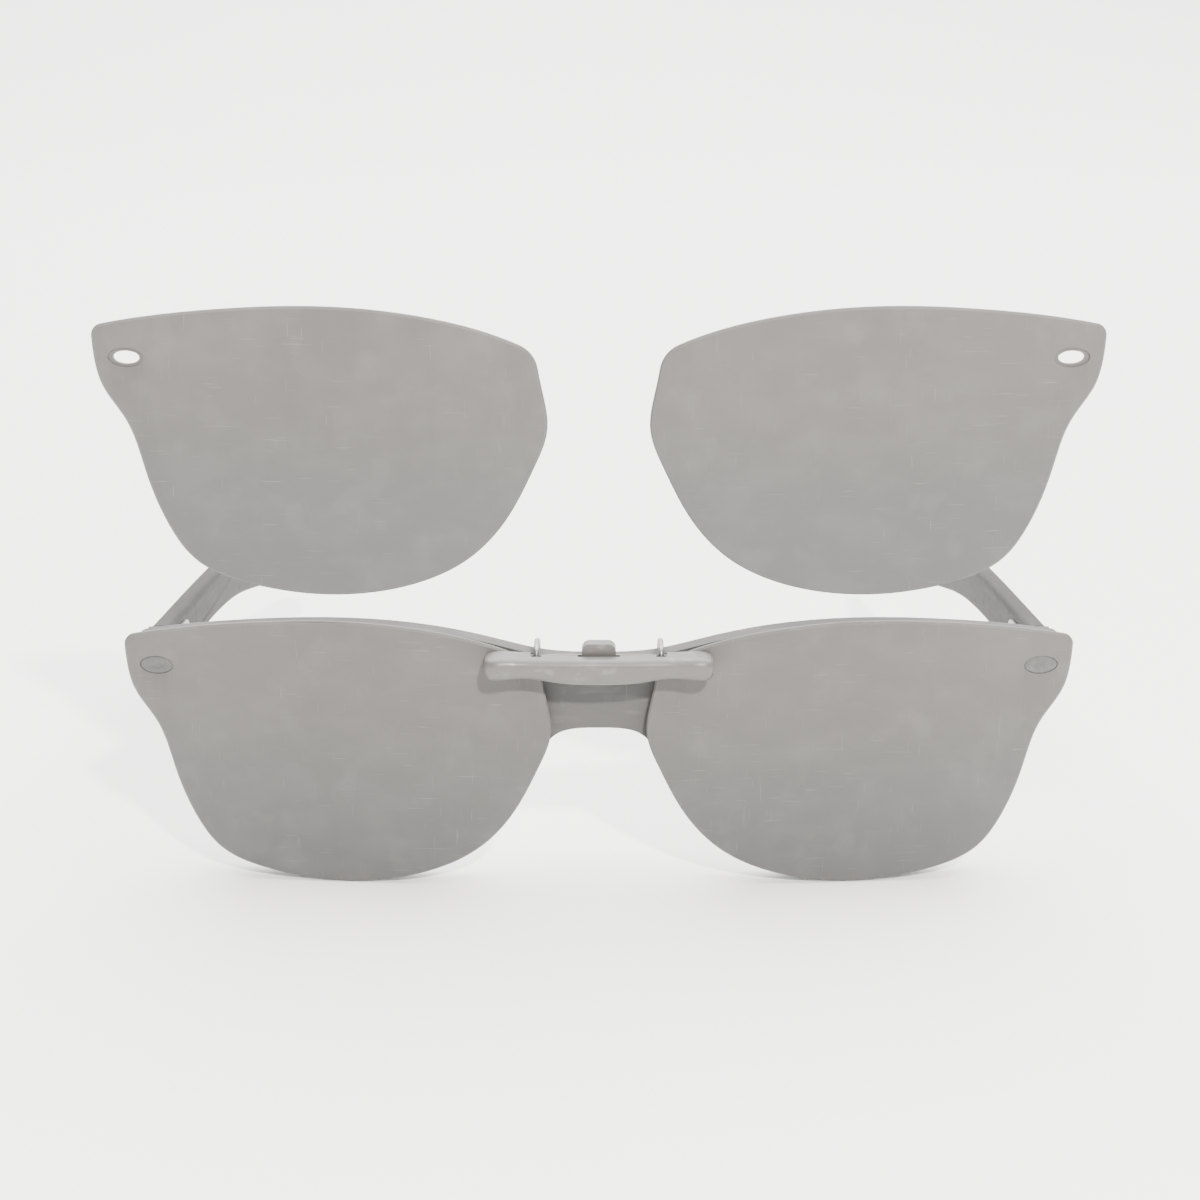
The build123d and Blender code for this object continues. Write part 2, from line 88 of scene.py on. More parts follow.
camera_data = bpy.data.cameras.new("view")
camera_data.sensor_width = SENSOR_WIDTH
camera_data.lens = FOCAL_LENGTH
camera_data.shift_x = VIEW_SHIFT
camera_data.clip_start = NEAR_LIMIT
camera = bpy.data.objects.new("view", camera_data)
bpy.context.scene.collection.objects.link(camera)
camera.location = AIM + VIEW_DISTANCE * Vector((0, -cos(VIEW_HEIGHT), sin(VIEW_HEIGHT)))
camera.rotation_euler = (pi / 2 - VIEW_HEIGHT, 0, 0)
bpy.context.scene.camera = camera
print("camera at", [round(c, 4) for c in camera.location])

# %% [markdown]
# ## Small tools for node trees
#
# Shader maths reads best as plain arithmetic. `Term` wraps one socket, and each operator adds the
# Math node that does it, so `1 - mask * 0.3` works as written. `Graph` adds any other node: it
# takes the node's type, its settings, and the values or links of its sockets. A list of terms
# links them all to one socket, as a join needs. The same two classes serve materials and Geometry
# Nodes, because both are node trees.


# %% One class for a socket, one for a tree
class Term:
    """A socket that takes part in Python arithmetic."""

    def __init__(self, graph, socket):
        self.graph, self.socket = graph, socket

    def __add__(self, other):
        return self.graph.math("ADD", self, other)

    def __radd__(self, other):
        return self.graph.math("ADD", other, self)

    def __sub__(self, other):
        return self.graph.math("SUBTRACT", self, other)

    def __rsub__(self, other):
        return self.graph.math("SUBTRACT", other, self)

    def __mul__(self, other):
        return self.graph.math("MULTIPLY", self, other)

    def __rmul__(self, other):
        return self.graph.math("MULTIPLY", other, self)

    def __pow__(self, other):
        return self.graph.math("POWER", self, other)


class Graph:
    """A node tree that grows by one call for each node."""

    def __init__(self, tree):
        self.tree = tree

    def add(self, kind, settings=None, sockets=None, output=0):
        """Adds a node, sets it up, fills its sockets and returns one of its outputs."""
        node = self.tree.nodes.new(kind)
        for key, value in (settings or {}).items():
            setattr(node, key, value)
        for key, value in (sockets or {}).items():
            if isinstance(value, (Term, list)):
                for term in value if isinstance(value, list) else [value]:
                    self.tree.links.new(term.socket, node.inputs[key])
            elif value is not None:
                node.inputs[key].default_value = value
        return Term(self, node.outputs[output]) if len(node.outputs) else node

    def math(self, operation, first, second=0.0):
        """One sum, product or function of terms or numbers."""
        return self.add("ShaderNodeMath", {"operation": operation}, {0: first, 1: second})


print("node tools ready")

# %% [markdown]
# ## Finishes
#
# Every finish starts from Object coordinates, in metres, so a pattern keeps its real scale and
# stays put on the piece. Noise gives cloudiness and orange peel, and thin stretched noise gives
# the fine scratches that catch the light. Each finish is one short function.


# %% Start a finish, and the patterns that finishes share
def grey(level, warmth=0.0):
    """A colour for a shader: a grey, warmed a little towards red."""
    return (level * (1 + warmth), level, level * (1 - warmth), 1)


COLOUR_A, COLOUR_B, COLOUR_RESULT = 6, 7, 2  # a Mix node's colour sockets share their names


class Finish(Graph):
    """A material under construction, with its coordinates at hand."""

    def __init__(self, name):
        self.material = bpy.data.materials.new(name)
        self.material.use_nodes = True
        super().__init__(self.material.node_tree)
        self.tree.nodes.clear()
        self.place = self.add("ShaderNodeTexCoord", output="Object")

    def noise(self, size, detail=3.0, stretch=(1, 1, 1), seed=0.0):
        """Noise whose features are about this size across, drawn out along the axes by stretch."""
        mapped = self.add(
            "ShaderNodeMapping",
            sockets={
                "Vector": self.place,
                "Location": (seed, seed, seed),
                "Scale": tuple(1 / (size * pull) for pull in stretch),
            },
        )
        return self.add(
            "ShaderNodeTexNoise", sockets={"Vector": mapped, "Scale": 1.0, "Detail": detail}
        )

    def axis(self, letter):
        """One of the coordinates, in metres."""
        return self.add("ShaderNodeSeparateXYZ", sockets={"Vector": self.place}, output=letter)

    def above(self, term, start, end):
        """A smooth 0 to 1 mask of where a term rises from start to end."""
        return self.add(
            "ShaderNodeMapRange",
            {"interpolation_type": "SMOOTHSTEP"},
            {"Value": term, "From Min": start, "From Max": end},
        )

    def scratches(self, size, seed=3.0):
        """Fine hairline marks in two directions, 1 on a mark and 0 elsewhere."""
        one = self.noise(size, 1, (26, 26, 1), seed)
        two = self.noise(size, 1, (1, 8, 22), seed + 5)
        return self.above(one, 0.70, 0.78) + self.above(two, 0.72, 0.80)

    def blend(self, mask, first, second):
        """A colour that goes from the first to the second as the mask goes from 0 to 1."""
        return self.add(
            "ShaderNodeMix",
            {"data_type": "RGBA"},
            {"Factor": mask, COLOUR_A: first, COLOUR_B: second},
            output=COLOUR_RESULT,
        )

    def bump(self, height, depth, under=None):
        """A normal that is tilted by a height field of this real depth, in metres."""
        return self.add(
            "ShaderNodeBump",
            sockets={"Height": height, "Distance": depth, "Strength": 1.0, "Normal": under},
        )

    def surface(self, **sockets):
        """Ends the finish in one shader. The sockets' names have underscores for spaces."""
        named = {key.replace("_", " "): value for key, value in sockets.items()}
        shader = self.add("ShaderNodeBsdfPrincipled", sockets=named)
        self.add("ShaderNodeOutputMaterial", sockets={"Surface": shader})
        return self.material


print("finish tools ready")

# %% [markdown]
# ### The sun lens
#
# A sun lens of this kind is moulded solid grey and given a soft flash coat, so from outside it
# reads as an even, nearly opaque panel. Up close it is never quite even: wiping leaves hairlines,
# and fingers leave dull patches. Its grey is painted lighter and warmer towards the top, a painted
# top light for the lamps falling more on its upper part. The ground edge is smoother than the
# faces, and its lighter grey is a painted highlight along the rim, with real chips in it.


# %% Make the sun lens finish with its painted top light, and its edge with a painted highlight
lens_low, lens_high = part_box("sun_lens_left")
LENS_TALL = lens_high.z - lens_low.z


def sun_lens_finish(name, foot):
    look = Finish(name)
    height = look.axis("Z")
    # painted top light: 0 at the lens's foot and 1 at its top; along it the grey turns lighter and
    # warmer, standing in for light falling more on the upper part
    painted_top_light = look.above(height, foot, foot + LENS_TALL)
    cloud = look.noise(16 * MM, 3)
    haze = look.above(look.noise(5 * MM, 4, (1.6, 1, 1), 21.0), 0.40, 0.70)
    smudge = look.above(look.noise(6 * MM, 3, seed=11.0), 0.54, 0.70)
    marks = look.scratches(0.22 * MM)
    tint = look.blend(painted_top_light, grey(0.088), grey(0.107, 0.045))
    tint = look.blend(cloud * 0.35, tint, grey(0.121, 0.02))
    tint = look.blend(haze * 0.07 + smudge * 0.08 + marks * 0.25, tint, grey(0.24, 0.015))
    normal = look.bump(look.noise(4 * MM, 1, seed=2.0), 0.02 * MM)
    normal = look.bump(look.noise(0.35 * MM, 2, seed=15.0), 0.0006 * MM, normal)
    normal = look.bump(marks, 0.003 * MM, normal)
    return look.surface(
        Base_Color=tint,
        Roughness=0.42 + haze * 0.06 + smudge * 0.10 + marks * 0.14,
        Specular_IOR_Level=0.16,
        Coat_Weight=0.05 - smudge * 0.04,
        Coat_Roughness=0.14,
        Normal=normal,
    )


def lens_edge_highlight_finish():
    look = Finish("sun_lens_edge_highlight")
    wipe = look.noise(0.8 * MM, 3, (1, 1, 4))
    chips = look.above(look.noise(0.5 * MM, 4, seed=31.0), 0.66, 0.74)
    # painted highlight: the rim's grey is set lighter than the faces' grey, so the rounded edge
    # reads as lit; the wipe and the chips are real wear
    tint = look.blend(wipe, grey(0.15, 0.01), grey(0.21, 0.012))
    return look.surface(
        Base_Color=look.blend(chips * 0.6, tint, grey(0.36, 0.01)),
        Roughness=0.26 + wipe * 0.16 + chips * 0.25,
        Specular_IOR_Level=0.25,
        Coat_Weight=0.12,
        Normal=look.bump(chips, -0.01 * MM, look.bump(wipe, 0.004 * MM)),
    )


FITTED_LENS = sun_lens_finish("sun_lens_fitted", lens_low.z)
SPARE_LENS = sun_lens_finish("sun_lens_spare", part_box("spare_lens_left")[0].z)
LENS_EDGE_HIGHLIGHT = lens_edge_highlight_finish()
print("made", FITTED_LENS.name, SPARE_LENS.name, LENS_EDGE_HIGHLIGHT.name)

# %% [markdown]
# ### Acetate
#
# Acetate sheet is poured in layers, so a grey frame has slow pearly clouds and fine threads drawn
# out along the sheet. Tumbling with pegs gives it a deep but slightly wavy polish. The temples
# run front to back, so their clouds do too, which is why the stretch is a parameter. The temples'
# finish is also darker than the front's, a painted shade for their inward-facing sides.


# %% Make the acetate finishes
def acetate_finish(name, stretch, tone=0.085, dullness=0.50, shine=0.10):
    look = Finish(name)
    cloud = look.noise(5 * MM, 4, stretch)
    thread = look.above(look.noise(1.4 * MM, 3, stretch, 7.0), 0.50, 0.66)
    marks = look.scratches(0.3 * MM, 9.0)
    rub = look.above(look.noise(2.2 * MM, 3, seed=13.0), 0.58, 0.72)
    tint = look.blend(cloud, grey(tone * 0.80, 0.01), grey(tone * 1.22, 0.02))
    tint = look.blend(thread * 0.4, tint, grey(tone * 1.5, 0.025))
    tint = look.blend(rub * 0.2 + marks * 0.3, tint, grey(tone * 1.8, 0.02))
    wave = look.noise(2.2 * MM, 2, seed=4.0)
    return look.surface(
        Base_Color=tint,
        Roughness=dullness + cloud * 0.08 + rub * 0.10 + marks * 0.14,
        Specular_IOR_Level=shine,
        Coat_Weight=(0.24 - rub * 0.12 - marks * 0.12) * shine,
        Coat_Roughness=0.12,
        Normal=look.bump(marks, 0.003 * MM, look.bump(wave, 0.015 * MM)),
    )


ACETATE = acetate_finish("frame_acetate", stretch=(5, 1, 1))
# painted shade: the temples' tone is darker than the front's, standing in for the shade on their
# inner sides
TEMPLE_ACETATE_PAINTED_SHADE = acetate_finish("temple_acetate_painted_shade", (1, 7, 1), tone=0.042, dullness=0.54)
PAD_ACETATE = acetate_finish("nose_pad_acetate", (1, 1, 2), tone=0.13)
print("made", ACETATE.name, TEMPLE_ACETATE_PAINTED_SHADE.name, PAD_ACETATE.name)

# %% [markdown]
# ### Rubber and the clear lens
#
# Rubber is dull, with a dusty top layer and a fine grain from its mould. The optical lens is
# glass-clear, so it needs almost no pattern in its colour, only a little wiping in its roughness.


# %% Make the rubber and clear lens finishes
def rubber_finish(name, tone):
    look = Finish(name)
    dust = look.above(look.noise(0.9 * MM, 4), 0.42, 0.70)
    grain = look.noise(0.12 * MM, 2, seed=6.0)
    return look.surface(
        Base_Color=look.blend(dust, grey(tone), grey(tone * 1.5, 0.02)),
        Roughness=0.58 + dust * 0.24,
        Normal=look.bump(grain, 0.012 * MM),
    )


def clear_lens_finish():
    look = Finish("optical_lens")
    wipe = look.noise(5 * MM, 3, (3, 1, 1))
    smear = look.above(wipe, 0.55, 0.75)
    return look.surface(
        Base_Color=look.blend(smear, grey(0.95), grey(0.90, 0.01)),
        Roughness=0.02 + smear * 0.05,
        Transmission_Weight=0.96,
        IOR=1.5,
        Normal=look.bump(wipe, 0.004 * MM),
    )


BUMPER_RUBBER = rubber_finish("bumper_rubber", tone=0.075)
SLEEVE_RUBBER = rubber_finish("soft_rubber", tone=0.06)
CLEAR = clear_lens_finish()
print("made", BUMPER_RUBBER.name, SLEEVE_RUBBER.name, CLEAR.name)

# %% [markdown]
# ### Plated metal
#
# The bar and its lever are cast, brushed along their length and plated a soft grey. Brushing is
# noise drawn out along X, in colour, in roughness and in a very shallow bump. The wires, screws
# and hinge leaves are bright steel, with turning marks and darker pits.


# %% Make the metal finishes
def satin_finish():
    look = Finish("satin_metal")
    brush = look.noise(0.10 * MM, 3, (60, 1, 1))
    cloud = look.noise(2.4 * MM, 3, seed=8.0)
    rub = look.above(look.noise(1.3 * MM, 4, (2, 1, 1), 12.0), 0.56, 0.72)
    tint = look.blend(cloud, grey(0.095, 0.03), grey(0.125, 0.04))
    tint = look.blend(brush * 0.35, tint, grey(0.17, 0.035))
    tint = look.blend(rub * 0.35, tint, grey(0.24, 0.03))
    return look.surface(
        Base_Color=tint,
        Specular_IOR_Level=0.35,
        Metallic=0.25 + rub * 0.2,
        Roughness=0.36 + brush * 0.16 - rub * 0.10,
        Normal=look.bump(brush, 0.006 * MM, look.bump(cloud, 0.02 * MM)),
    )


def steel_finish():
    look = Finish("bright_steel")
    turning = look.noise(0.07 * MM, 2, (1, 1, 14), 5.0)
    pits = look.above(look.noise(0.5 * MM, 4, seed=10.0), 0.62, 0.74)
    return look.surface(
        Base_Color=look.blend(pits, grey(0.26, 0.01), grey(0.15, 0.03)),
        Metallic=0.9 - pits * 0.25,
        Roughness=0.30 + turning * 0.12 + pits * 0.25,
        Normal=look.bump(turning, 0.004 * MM),
    )


SATIN, STEEL = satin_finish(), steel_finish()
print("made", SATIN.name, STEEL.name)

# %% [markdown]
# ## Pieces that start from the engineered solids
#
# The solids have the right outline but knife-sharp edges. A real edge is never sharp: acetate is
# tumbled, castings are fettled, lenses are ground. Each of these pieces is a merged copy of its
# solid with rounded edges, and the copy stands for the solid. Where the rounding shows as its own
# surface, as on a lens, the new faces take a second finish.


# %% Turn a modified piece into a plain one, and attach it to its body
def plain_mesh(piece):
    """Turns a piece with modifiers into the plain mesh they make, and clears them."""
    bpy.context.view_layer.update()
    seen = piece.evaluated_get(bpy.context.evaluated_depsgraph_get())
    mesh = bpy.data.meshes.new_from_object(seen)
    piece.modifiers.clear()
    piece.data = mesh
    mesh.name = piece.name
    return piece


def settle(piece, body, slot, *nodes):
    """Says what a finished piece rides on and the solids it stands for; slot is not used."""
    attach(piece, body)
    if nodes:
        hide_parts(*nodes)
    print(f"{piece.name}: {len(piece.data.polygons)} faces, rides on {body}")
    return piece


# %% [markdown]
# ### Rounding an edge
#
# The copy starts as loose triangles, so its corners are merged and its flat faces joined first.
# Then a Bevel modifier rounds every edge that turns by more than a set angle. Its last material
# goes on the rounded faces, and hardened normals keep the flat faces looking flat.

# %% Round the edges of a copied solid
SHARP = radians(30)
MERGE_WITHIN = 0.002 * MM
FLAT_WITHIN = radians(0.05)


def rounded_copy(node, name, materials, rounding, steps=2):
    """A merged copy of a solid with rounded edges, as a new piece."""
    shape = bmesh.new()
    shape.from_mesh(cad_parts[node].data)
    bmesh.ops.remove_doubles(shape, verts=shape.verts, dist=MERGE_WITHIN)
    bmesh.ops.dissolve_limit(shape, angle_limit=FLAT_WITHIN, verts=shape.verts, edges=shape.edges)
    mesh = bpy.data.meshes.new(name)
    shape.to_mesh(mesh)
    shape.free()
    for material in materials:
        mesh.materials.append(material)
    mesh.shade_smooth()
    mesh.set_sharp_from_angle(angle=SHARP)
    piece = bpy.data.objects.new(name, mesh)
    bpy.context.scene.collection.objects.link(piece)
    edge = piece.modifiers.new("rounding", "BEVEL")
    edge.width = rounding
    edge.segments = steps
    edge.limit_method = "ANGLE"
    edge.angle_limit = SHARP
    edge.harden_normals = True
    edge.material = len(materials) - 1
    return plain_mesh(piece)


print("ready to round solids")

# %% [markdown]
# ### Sun lenses
#
# Each sun lens is cut from a curved moulded blank, and its rim and its oval hole are then ground
# and polished. So the faces wear the coated finish and the rounded rim wears the polished one. The
# spare pair comes off the same bench and is made the same way.

# %% Sun lenses, fitted and spare
for side in SIDES:
    for kind, body, look in (
        ("sun_lens", "clip_on", FITTED_LENS),
        ("spare_lens", f"spare_{side}", SPARE_LENS),
    ):
        node = f"{kind}_{side}"
        lens = rounded_copy(node, f"{kind}_panel_{side}", [look, LENS_EDGE_HIGHLIGHT], 0.1 * MM)
        settle(lens, body, "sun_lens", node)

# %% [markdown]
# ### The spectacles themselves
#
# The front is milled from acetate sheet and tumbled for days, which rounds it far more than the
# temples, whose edges are only softened before their wires go in. The nose pads are small pressed
# blocks glued to the rims. Each clear lens is snapped into a groove, so only its faces show. How
# round each piece's edges are is the one number that differs, so a table holds it.

# %% Frame front, temples, nose pads and clear lenses
ROUNDING = {"front": 0.5 * MM, "temple": 0.25 * MM, "nose_pad": 0.15 * MM, "clear": 0.1 * MM}

front = rounded_copy("frame_front", "frame_front_shell", [ACETATE], ROUNDING["front"], steps=3)
settle(front, "glasses", "frame_acetate", "frame_front")
for side in SIDES:
    for node, name, look, rounding, body, slot in (
        ("temple", "temple_shell", TEMPLE_ACETATE_PAINTED_SHADE, "temple", f"temple_arm_{side}", "frame_acetate"),
        ("nose_pad", "nose_pad_block", PAD_ACETATE, "nose_pad", "glasses", "nose_pad"),
        ("optical_lens", "optical_lens_pane", CLEAR, "clear", "glasses", "optical_lens"),
    ):
        node = f"{node}_{side}"
        piece = rounded_copy(node, f"{name}_{side}", [look], ROUNDING[rounding])
        settle(piece, body, slot, node)

# %% [markdown]
# ### The clip's metal
#
# The bar is a zinc casting with a channel behind it for the jaw. The jaw's lever is a second
# casting and the back plate is a pressing, held by two slotted screws. A barrel finish softens all
# of their edges a little, and a short bevel gives the thin highlight that this leaves.

# %% Bar, lever, back plate and screws of the clip
for node, name, body, rounding in (
    ("clip_bar", "clip_bar_casting", "clip_on", 0.14 * MM),
    ("clip_back_plate", "clip_back_plate_pressing", "clip_on", 0.12 * MM),
    ("jaw_lever", "jaw_lever_casting", "jaw", 0.14 * MM),
):
    settle(rounded_copy(node, name, [SATIN], rounding), body, "satin_metal", node)
screws = rounded_copy("clip_screws", "clip_screw_pair", [STEEL], 0.04 * MM)
settle(screws, "clip_on", "steel", "clip_screws")

# %% [markdown]
# ### Small soft and hard parts
#
# Two rubber strips keep the back plate off the brow, and a moulding like that has generous
# corners. The hinge leaves and their screws are stamped and turned from steel, with edges only
# just broken.

# %% Bridge pads and hinge leaves
for side in SIDES:
    node = f"bridge_pad_{side}"
    pad = rounded_copy(node, f"bridge_pad_strip_{side}", [SLEEVE_RUBBER], 0.18 * MM, 3)
    settle(pad, "clip_on", "soft_rubber", node)
    for node, body in (
        (f"hinge_front_leaf_{side}", "glasses"),
        (f"hinge_temple_leaf_{side}", f"temple_arm_{side}"),
        (f"hinge_screw_{side}", "glasses"),
    ):
        settle(rounded_copy(node, f"{node}_finished", [STEEL], 0.06 * MM), body, "steel", node)

# %% [markdown]
# ## Oval bumpers
#
# Each fitted lens carries a soft oval rivet that keeps it off the frame. It is pulled through the
# lens's hole from behind, so it has a low domed head with a dimple, a neck and a thicker foot. A
# stack of oval rings describes it completely: each ring is a half length, a half height and a
# depth behind the lens's face.

# %% Loft the bumpers from oval rings
OVAL_PLACE = Vector((68.6, 0, 34.9)) * MM  # the right lens's hole; the left one is its mirror
WRAP_RADIUS = 510 * MM  # the lenses bend about one upright axis, this far behind their front
RING_POINTS = 48
LIP_ANGLE = radians(60)
BUMPER_RINGS = [  # half length, half height and depth, in millimetres
    (0.45, 0.20, 0.24), (0.95, 0.42, 0.23), (1.15, 0.55, 0.16), (1.35, 0.70, 0.10),
    (1.90, 0.95, 0.05), (2.35, 1.20, 0.06), (2.60, 1.36, 0.11), (2.68, 1.43, 0.19),
    (2.68, 1.43, 0.28), (2.00, 0.95, 0.30), (2.00, 0.95, 0.85), (2.30, 1.25, 0.87),
    (2.48, 1.38, 1.00), (2.50, 1.40, 1.20), (2.50, 1.40, 1.80), (2.40, 1.30, 1.95),
    (2.20, 1.10, 2.00),
]


def bumper(side):
    """One bumper, lofted on the plane that touches the lens at its hole."""
    sign = -1 if side == "left" else 1
    turn = asin(OVAL_PLACE.x / WRAP_RADIUS) * sign
    across = Vector((cos(turn), sin(turn), 0))
    back = Vector((-sin(turn), cos(turn), 0))
    surface_y = LENS_FRONT_Y + WRAP_RADIUS - sqrt(WRAP_RADIUS**2 - OVAL_PLACE.x**2)
    middle = Vector((OVAL_PLACE.x * sign, surface_y, OVAL_PLACE.z))
    shape = bmesh.new()
    rings = []
    for long, tall, deep in BUMPER_RINGS:
        ring = []
        for step in range(RING_POINTS):
            angle = 2 * pi * step / RING_POINTS
            reach = across * (long * cos(angle)) + Vector((0, 0, tall * sin(angle))) + back * deep
            ring.append(shape.verts.new(middle + reach * MM))
        rings.append(ring)
    for near, far in zip(rings, rings[1:]):
        for step in range(RING_POINTS):
            after = (step + 1) % RING_POINTS
            shape.faces.new((near[step], far[step], far[after], near[after]))
    shape.faces.new(rings[0])
    shape.faces.new(list(reversed(rings[-1])))
    bmesh.ops.recalc_face_normals(shape, faces=shape.faces)
    mesh = bpy.data.meshes.new(f"oval_bumper_{side}")
    shape.to_mesh(mesh)
    shape.free()
    mesh.materials.append(BUMPER_RUBBER)
    mesh.shade_smooth()
    mesh.set_sharp_from_angle(angle=LIP_ANGLE)
    piece = bpy.data.objects.new(mesh.name, mesh)
    bpy.context.scene.collection.objects.link(piece)
    return piece


for side in SIDES:
    settle(bumper(side), "clip_on", "soft_rubber", f"lens_bumper_{side}")

# %% [markdown]
# ## What repeats, grown by Geometry Nodes
#
# Coils, ribs and grip lines are one shape repeated along a line, so a node tree describes them
# best: the numbers that a spring maker would quote are its named inputs. Each tree ends in Realize
# Instances and Set Material, and its result is taken as a plain mesh.


# %% Grow a piece from a node tree
def grow(name, inputs, build, material):
    """A plain piece made by a tree. Inputs is a dict of name: (socket type, value)."""
    tree = bpy.data.node_groups.new(name, "GeometryNodeTree")
    tree.interface.new_socket("Geometry", in_out="OUTPUT", socket_type="NodeSocketGeometry")
    sockets = {
        label: tree.interface.new_socket(label, in_out="INPUT", socket_type=kind)
        for label, (kind, value) in inputs.items()
    }
    graph = Graph(tree)
    terms = {label: graph.add("NodeGroupInput", output=label) for label in inputs}
    real = graph.add("GeometryNodeRealizeInstances", sockets={"Geometry": build(graph, terms)})
    smooth = graph.add("GeometryNodeSetShadeSmooth", sockets={"Geometry": real})
    dressed = graph.add(
        "GeometryNodeSetMaterial", sockets={"Geometry": smooth, "Material": material}
    )
    graph.add("NodeGroupOutput", sockets={"Geometry": dressed})
    piece = bpy.data.objects.new(name, bpy.data.meshes.new(name))
    bpy.context.scene.collection.objects.link(piece)
    modifier = piece.modifiers.new("grown", "NODES")
    modifier.node_group = tree
    for label, (kind, value) in inputs.items():
        modifier[sockets[label].identifier] = value
    return plain_mesh(piece)


FLOAT, PLACE = "NodeSocketFloat", "NodeSocketVector"
print("ready to grow pieces")

# %% [markdown]
# ### Torsion springs
#
# Two close-wound springs sit on the jaw's pin and push it shut. A spring winder makes them from
# hard wire with a fixed number of turns, and leaves a straight leg that bears on the bar.

# %% Wind the springs
coil_low, coil_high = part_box("torsion_springs")
WIRE_RADIUS = 0.14 * MM
COIL_RADIUS = (coil_high.z - coil_low.z) / 2 - WIRE_RADIUS
COIL_AXIS = Vector((0, (coil_low.y + coil_high.y) / 2, (coil_low.z + coil_high.z) / 2))
COIL_LONG = 2.4 * MM
COIL_MIDDLE = 6.2 * MM  # from the middle plane to each spring's middle
STEPS_A_TURN, WIRE_SIDES = 28, 10
ALONG_X = (0, pi / 2, 0)  # turns a shape that was made along Z


def wind(graph, term):
    spiral = graph.add(
        "GeometryNodeCurveSpiral",
        sockets={
            "Resolution": STEPS_A_TURN,
            "Rotations": term["Turns"],
            "Start Radius": term["Coil radius"],
            "End Radius": term["Coil radius"],
            "Height": term["Length"],
        },
    )
    leg_top = graph.add("ShaderNodeCombineXYZ", sockets={"X": term["Coil radius"]})
    leg_end = graph.add(
        "ShaderNodeCombineXYZ", sockets={"X": term["Coil radius"], "Y": term["Leg"] * -1}
    )
    leg = graph.add("GeometryNodeCurvePrimitiveLine", sockets={"Start": leg_top, "End": leg_end})
    wire = graph.add("GeometryNodeJoinGeometry", sockets={"Geometry": [spiral, leg]})
    profile = graph.add(
        "GeometryNodeCurvePrimitiveCircle",
        sockets={"Resolution": WIRE_SIDES, "Radius": term["Wire radius"]},
    )
    solid = graph.add(
        "GeometryNodeCurveToMesh",
        sockets={"Curve": wire, "Profile Curve": profile, "Fill Caps": True},
    )
    half = graph.add("ShaderNodeCombineXYZ", sockets={"Z": term["Length"] * -0.5})
    centred = graph.add("GeometryNodeTransform", sockets={"Geometry": solid, "Translation": half})
    places = graph.add(
        "GeometryNodeMeshLine",
        {"mode": "END_POINTS"},
        {"Count": 2, "Start Location": term["First middle"], "Offset": term["Last middle"]},
    )
    return graph.add(
        "GeometryNodeInstanceOnPoints",
        sockets={"Points": places, "Instance": centred, "Rotation": ALONG_X},
    )


springs = grow(
    "jaw_springs",
    {
        "Turns": (FLOAT, 7.0),
        "Coil radius": (FLOAT, COIL_RADIUS),
        "Wire radius": (FLOAT, WIRE_RADIUS),
        "Length": (FLOAT, COIL_LONG),
        "Leg": (FLOAT, 0.8 * MM),
        "First middle": (PLACE, COIL_AXIS - Vector((COIL_MIDDLE, 0, 0))),
        "Last middle": (PLACE, COIL_AXIS + Vector((COIL_MIDDLE, 0, 0))),
    },
    wind,
    STEEL,
)
settle(springs, "clip_on", "steel", "torsion_springs")

# %% [markdown]
# ### Ribbed sleeves on the prongs
#
# The prongs hook over the brow and press on the back of the optical lens, so each tip wears a soft
# sleeve. It is moulded with shallow ribs that give it grip. The ribs are a sine wave on the radius
# of a curve, and the ends taper to a soft nose.

# %% Mould the sleeves
SLEEVE_RIBS = 7
SLEEVE_STEPS = 16 * SLEEVE_RIBS
SLEEVE_SIDES = 28
NOSE_POWER, NOSE_TAPER = 24, 0.75  # a high power keeps the sleeve full until close to its ends
SLEEVE_FIT = 0.98  # keeps the ribs' tops inside the engineered sleeve


def mould(graph, term):
    line = graph.add(
        "GeometryNodeCurvePrimitiveLine", sockets={"Start": term["Top"], "End": term["Bottom"]}
    )
    fine = graph.add("GeometryNodeResampleCurve", sockets={"Curve": line, "Count": SLEEVE_STEPS})
    along = graph.add("GeometryNodeSplineParameter")
    wave = graph.math("SINE", along * (2 * pi * SLEEVE_RIBS))
    off_middle = graph.math("ABSOLUTE", along * 2 - 1)
    nose = graph.math("SQRT", 1 - off_middle**NOSE_POWER * NOSE_TAPER)
    profile = graph.add(
        "GeometryNodeCurvePrimitiveCircle",
        sockets={"Resolution": SLEEVE_SIDES, "Radius": term["Radius"]},
    )
    return graph.add(
        "GeometryNodeCurveToMesh",
        sockets={
            "Curve": fine,
            "Profile Curve": profile,
            "Scale": nose * (1 - term["Rib depth"] * (1 - wave)),
            "Fill Caps": True,
        },
    )


for side in SIDES:
    low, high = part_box(f"prong_sleeve_{side}")
    middle_x, reach = (low.x + high.x) / 2, (high.x - low.x) / 2
    sleeve = grow(
        f"ribbed_sleeve_{side}",
        {
            "Top": (PLACE, Vector((middle_x, low.y + reach, high.z))),
            "Bottom": (PLACE, Vector((middle_x, high.y - reach, low.z))),
            "Radius": (FLOAT, reach * SLEEVE_FIT),
            "Rib depth": (FLOAT, 0.045),
        },
        mould,
        SLEEVE_RUBBER,
    )
    settle(sleeve, "jaw", "soft_rubber", f"prong_sleeve_{side}")

# %% [markdown]
# ### Grip lines on the tab
#
# The thumb presses the tab from behind, where a few cast lines stop it slipping. They are short
# rods let into the tab's back.

# %% Cast the grip lines
lever_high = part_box("jaw_lever")[1]
GRIP_LINES, ROD_SIDES = 4, 14
GRIP_STEP = 0.34 * MM
GRIP_TOP = 0.35 * MM  # from the tab's top down to the first line


